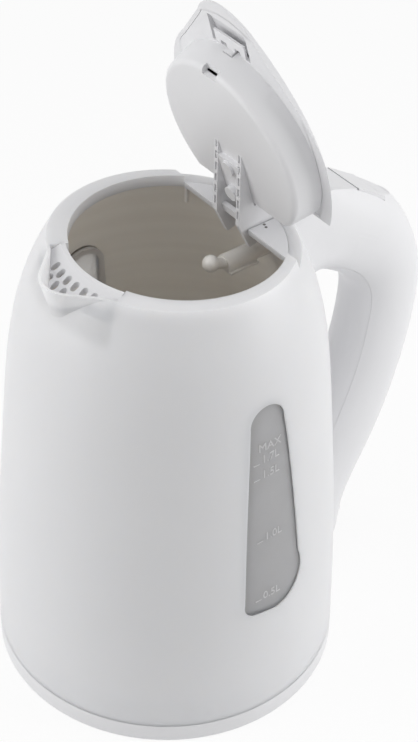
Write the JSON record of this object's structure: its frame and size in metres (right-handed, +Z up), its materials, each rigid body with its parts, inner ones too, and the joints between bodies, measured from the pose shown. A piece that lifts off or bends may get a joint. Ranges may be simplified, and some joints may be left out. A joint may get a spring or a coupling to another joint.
{
  "type": "electric_kettle",
  "caption": "White cordless electric kettle standing with its hinged lid open, with water windows, a spout strainer and a loop handle with a thumb button",
  "frame": {"origin": "on the jug's axis at the plane it stands on, which is also the coupler socket's axis", "axes": "+Z up, +X to the handle, -X to the spout, +Y the far side in the picture"},
  "size_m": [0.2051, 0.1472, 0.3015],
  "materials": {
    "white_plastic": "satin moulded",
    "clear_plastic": "translucent",
    "grey_plastic": "matte",
    "seal_rubber": "soft",
    "steel": "brushed",
    "aluminium": "cast",
    "copper": "plain"
  },
  "bodies": {
    "jug": {"base_cover": "white_plastic", "base_screws": "steel", "bimetal_discs": "copper", "body_shell": "white_plastic", "button_spring": "steel", "clamp_ring": "grey_plastic", "clamp_screws": "steel", "control_housing": "grey_plastic", "coupler_contacts": "copper", "coupler_socket": "grey_plastic", "element_leads": "copper", "handle_inner_cover": "white_plastic", "handle_screws": "steel", "handle_shell": "white_plastic", "handle_top_plate": "white_plastic", "heat_spreader": "aluminium", "heating_element": "aluminium", "heating_plate": "steel", "hinge_caps": "white_plastic", "hinge_pin": "steel", "lid_spring": "steel", "plate_seal": "seal_rubber", "steam_inlet_cover": "clear_plastic", "steam_switch": "grey_plastic", "steam_tube": "grey_plastic", "strainer": "white_plastic", "switch_pin": "steel", "switch_wires": "grey_plastic", "window_far": "clear_plastic", "window_near": "clear_plastic", "window_seal_far": "seal_rubber", "window_seal_near": "seal_rubber"},
    "lid": {"lid_cover": "white_plastic", "lid_pan": "white_plastic", "hinge_yoke": "white_plastic", "yoke_screws": "steel", "latch_spring": "steel"},
    "lid_latch": {"latch_slider": "white_plastic"},
    "release_button": {"release_button": "white_plastic"},
    "release_rod": {"release_rod": "steel"},
    "switch_lever": {"switch_lever": "white_plastic"}
  },
  "joints": [
    {"name": "lid_hinge", "type": "hinge", "parent": "jug", "child": "lid", "pos_m": [0.046, 0, 0.201], "axis": [0, 1, 0], "range_deg": [-70.7, 0], "stiffness_Nm_per_rad": 0.05, "springref_deg": 17.19},
    {"name": "latch_slide", "type": "slide", "parent": "lid", "child": "lid_latch", "axis": [-0.2823, 0, 0.9593], "range_m": [0, 0.003], "stiffness_N_per_m": 300, "springref_m": -0.002, "deforming": ["latch_spring"]},
    {"name": "button_press", "type": "slide", "parent": "jug", "child": "release_button", "axis": [-0.5425, 0, -0.84], "range_m": [0, 0.0025], "stiffness_N_per_m": 400, "springref_m": -0.002, "deforming": ["button_spring"]},
    {"name": "rod_slide", "type": "slide", "parent": "jug", "child": "release_rod", "axis": [-1, 0, 0], "range_m": [0, 0.0025]},
    {"name": "switch_lever_hinge", "type": "hinge", "parent": "jug", "child": "switch_lever", "pos_m": [0.087, 0, 0.019], "axis": [0, 1, 0], "range_deg": [0, 12]}
  ],
  "couplings": [
    {"joint": "rod_slide", "follows": "button_press", "ratio": 1}
  ]
}
